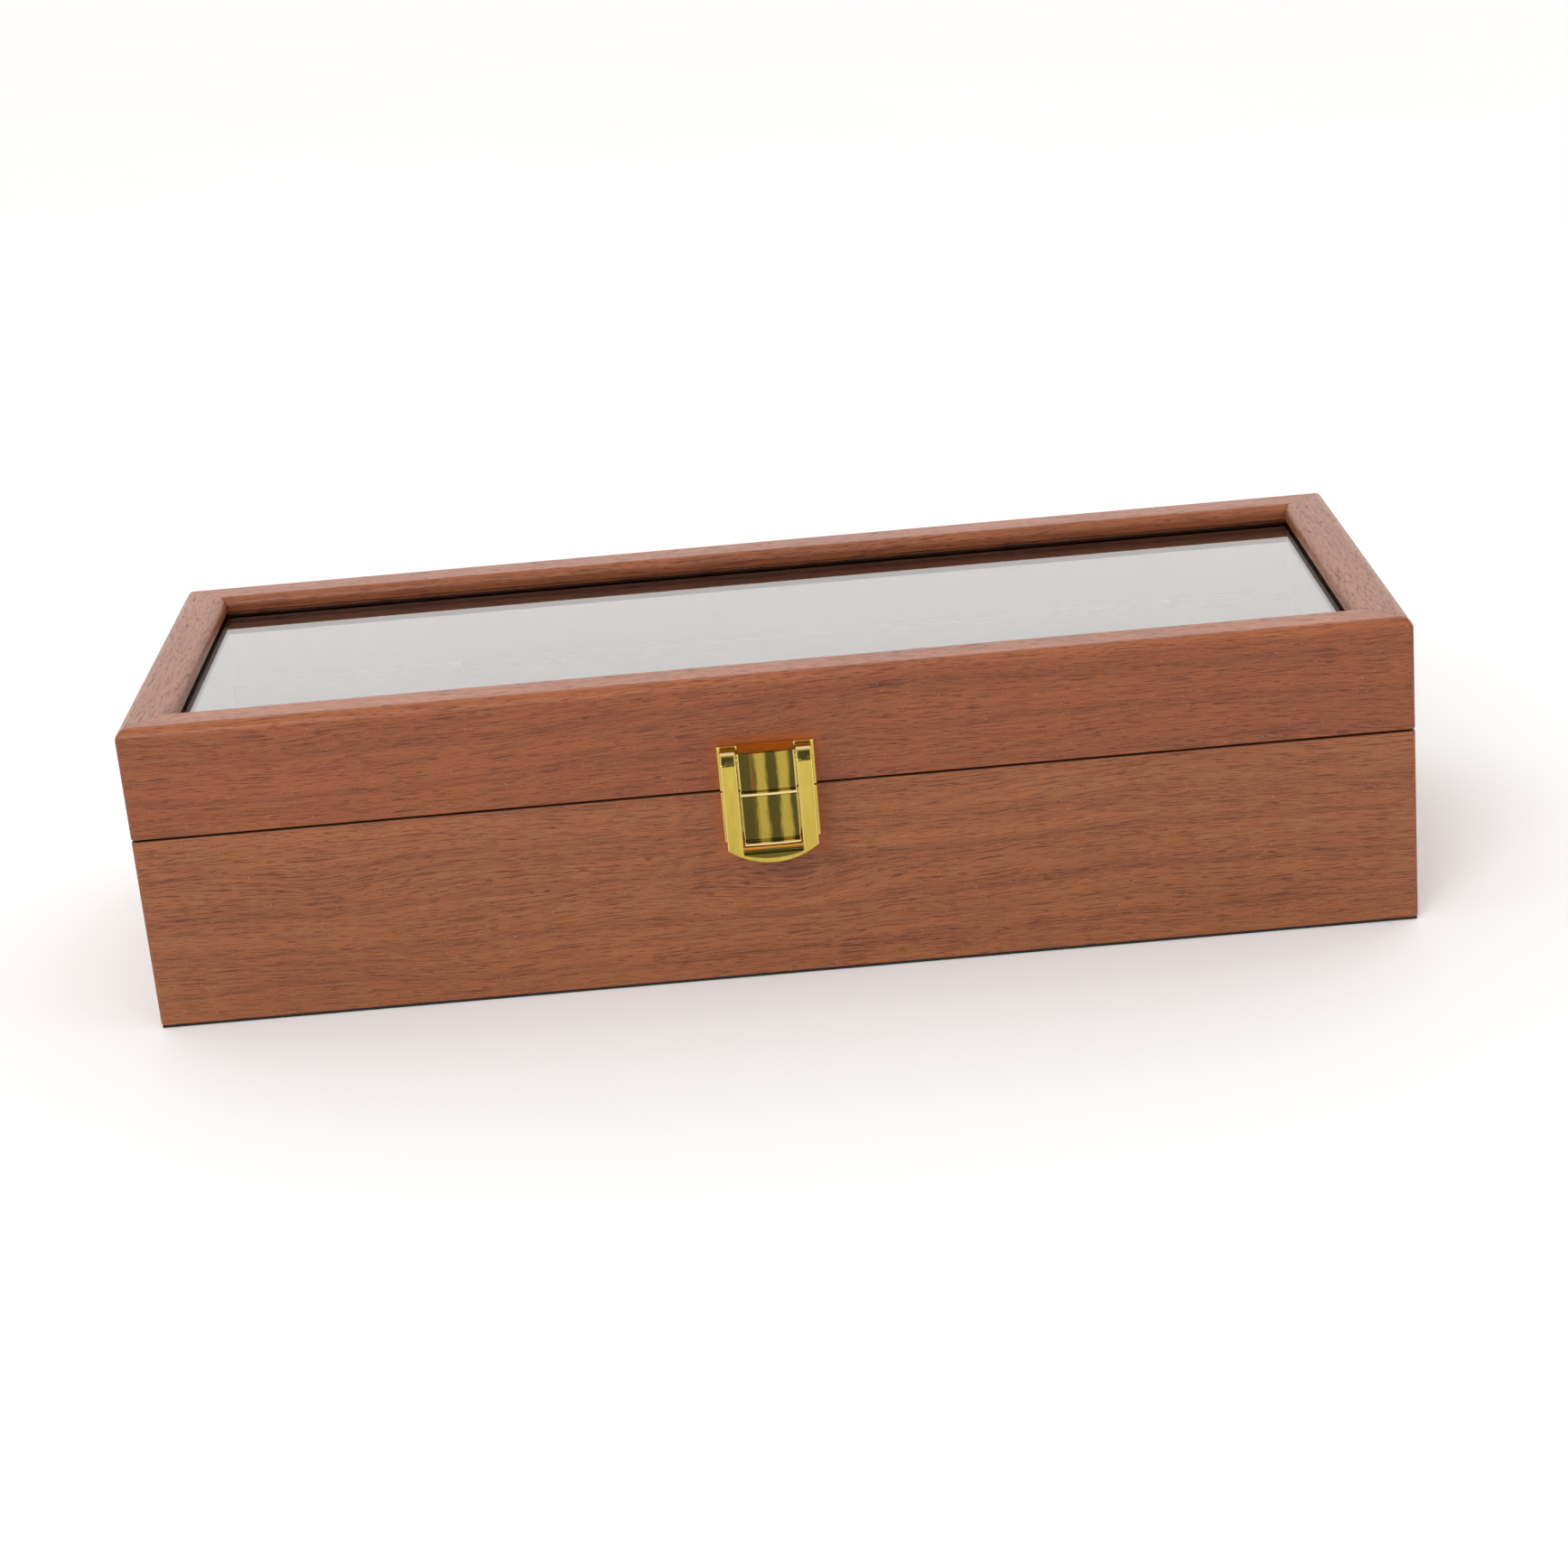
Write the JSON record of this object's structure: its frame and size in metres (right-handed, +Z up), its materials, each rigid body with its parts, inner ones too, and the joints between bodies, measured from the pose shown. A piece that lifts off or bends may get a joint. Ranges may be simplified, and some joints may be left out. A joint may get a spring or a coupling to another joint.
{
  "type": "watch box",
  "caption": "Long wooden watch box with a hinged glass lid, a flip-over gold latch and removable watch cushions in a lined, divided case.",
  "frame": {"origin": "centre of the felt underside, on the surface the box stands on", "axes": "+X along the box's length to the right seen from the front, +Y from the front (latch) to the back (hinges), +Z up"},
  "size_m": [0.32, 0.1348, 0.08],
  "materials": {
    "walnut": "satin lacquered walnut with open pores",
    "gold": "polished gold plating",
    "hinge_brass": "satin brass",
    "glass": "clear float glass",
    "velvet": "short black velvet pile",
    "cushion_cover": "black velvet over soft filling",
    "felt": "pressed felt",
    "panel": "plain plywood"
  },
  "bodies": {
    "base": {"base_front_board": "walnut", "base_right_board": "walnut", "base_back_board": "walnut", "base_left_board": "walnut", "bottom_panel": "panel", "base_felt": "felt", "lining_floor": "velvet", "lining_front": "velvet", "lining_right": "velvet", "lining_back": "velvet", "lining_left": "velvet", "divider_1": "velvet", "divider_2": "velvet", "divider_3": "velvet", "divider_4": "velvet", "divider_5": "velvet", "clasp_body_plate": "gold", "clasp_body_nail_left": "gold", "clasp_body_nail_right": "gold", "hinge_leaf_base_left": "hinge_brass", "hinge_leaf_base_right": "hinge_brass", "hinge_pin_left": "hinge_brass", "hinge_pin_right": "hinge_brass", "hinge_screw_base_left_1": "hinge_brass", "hinge_screw_base_left_2": "hinge_brass", "hinge_screw_base_right_1": "hinge_brass", "hinge_screw_base_right_2": "hinge_brass"},
    "lid": {"lid_front_rail": "walnut", "lid_right_rail": "walnut", "lid_back_rail": "walnut", "lid_left_rail": "walnut", "lid_glass": "glass", "lid_strip_front": "velvet", "lid_strip_right": "velvet", "lid_strip_back": "velvet", "lid_strip_left": "velvet", "clasp_lid_plate": "gold", "clasp_lid_nail_left": "gold", "clasp_lid_nail_right": "gold", "clasp_pin": "gold", "hinge_leaf_lid_left": "hinge_brass", "hinge_leaf_lid_right": "hinge_brass", "hinge_screw_lid_left_1": "hinge_brass", "hinge_screw_lid_left_2": "hinge_brass", "hinge_screw_lid_right_1": "hinge_brass", "hinge_screw_lid_right_2": "hinge_brass"},
    "clasp_lever": {"clasp_lever": "gold"},
    "cushion_1": {"cushion_1": "cushion_cover"},
    "cushion_2": {"cushion_2": "cushion_cover"},
    "cushion_3": {"cushion_3": "cushion_cover"},
    "cushion_4": {"cushion_4": "cushion_cover"},
    "cushion_5": {"cushion_5": "cushion_cover"},
    "cushion_6": {"cushion_6": "cushion_cover"}
  },
  "joints": [
    {"name": "lid_hinge", "type": "hinge", "parent": "base", "child": "lid", "pos_m": [0, 0.0636, 0.051], "axis": [-1, 0, 0], "range_deg": [0, 100]},
    {"name": "clasp_pivot", "type": "hinge", "parent": "lid", "child": "clasp_lever", "pos_m": [-0.0011, -0.0656, 0.0604], "axis": [-1, 0, 0], "range_deg": [0, 110]},
    {"name": "cushion_1_lift", "type": "slide", "parent": "base", "child": "cushion_1", "axis": [0, 0, 1], "range_m": [0, 0.025]},
    {"name": "cushion_2_lift", "type": "slide", "parent": "base", "child": "cushion_2", "axis": [0, 0, 1], "range_m": [0, 0.025]},
    {"name": "cushion_3_lift", "type": "slide", "parent": "base", "child": "cushion_3", "axis": [0, 0, 1], "range_m": [0, 0.025]},
    {"name": "cushion_4_lift", "type": "slide", "parent": "base", "child": "cushion_4", "axis": [0, 0, 1], "range_m": [0, 0.025]},
    {"name": "cushion_5_lift", "type": "slide", "parent": "base", "child": "cushion_5", "axis": [0, 0, 1], "range_m": [0, 0.025]},
    {"name": "cushion_6_lift", "type": "slide", "parent": "base", "child": "cushion_6", "axis": [0, 0, 1], "range_m": [0, 0.025]}
  ]
}
